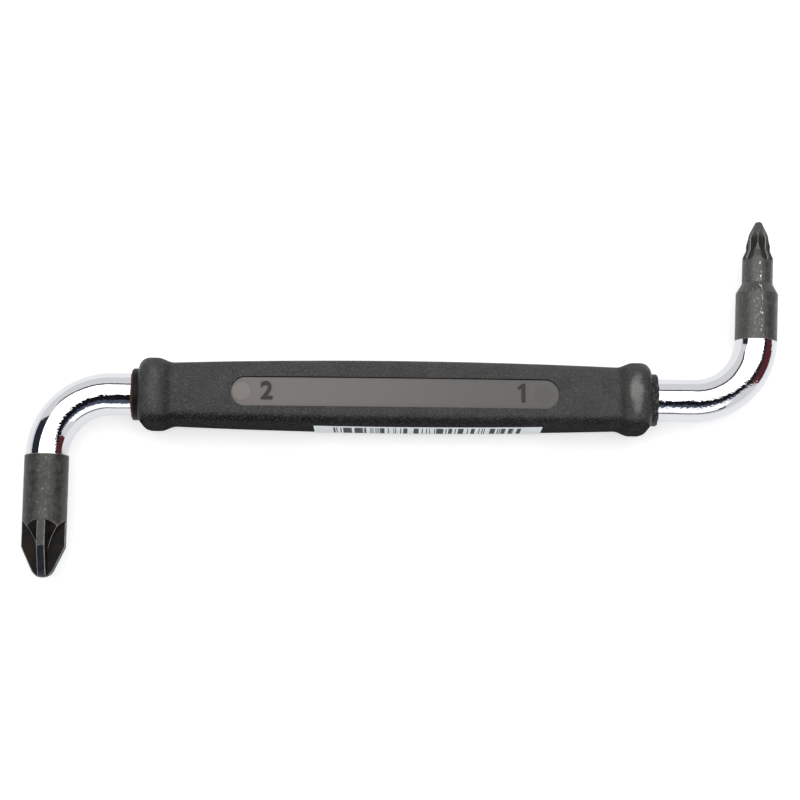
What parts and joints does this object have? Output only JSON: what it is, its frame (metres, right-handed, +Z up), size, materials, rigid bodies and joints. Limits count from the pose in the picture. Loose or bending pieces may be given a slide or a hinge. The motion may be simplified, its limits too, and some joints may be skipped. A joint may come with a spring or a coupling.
{
  "type": "offset screwdriver",
  "caption": "Double-ended offset screwdriver: a bent round steel bar through a square moulded handle, with ribbed cross tips, size 2 turned down and size 1 turned up.",
  "frame": {"origin": "middle of the tool's box, in the plane that it lies on", "axes": "+X along the handle to the size 1 end, +Y along the size 1 arm, +Z up through the handle's panel side"},
  "size_m": [0.1248, 0.061, 0.0112],
  "materials": {
    "chromed_steel": "bright chrome plate on a drawn bar",
    "blackened_steel": "blackened and lightly burnished",
    "handle_plastic": "fine grained black moulding, smooth panel",
    "ring_plastic": "matt black, trimmed by hand",
    "label_paper": "coated paper label with a pattern of dark bars"
  },
  "bodies": {
    "root": {"blade_bar": "chromed_steel", "tip_size_2": "blackened_steel", "tip_size_1": "blackened_steel", "handle": "handle_plastic", "end_ring_size_2": "ring_plastic", "end_ring_size_1": "ring_plastic", "stock_label": "label_paper"}
  },
  "joints": []
}
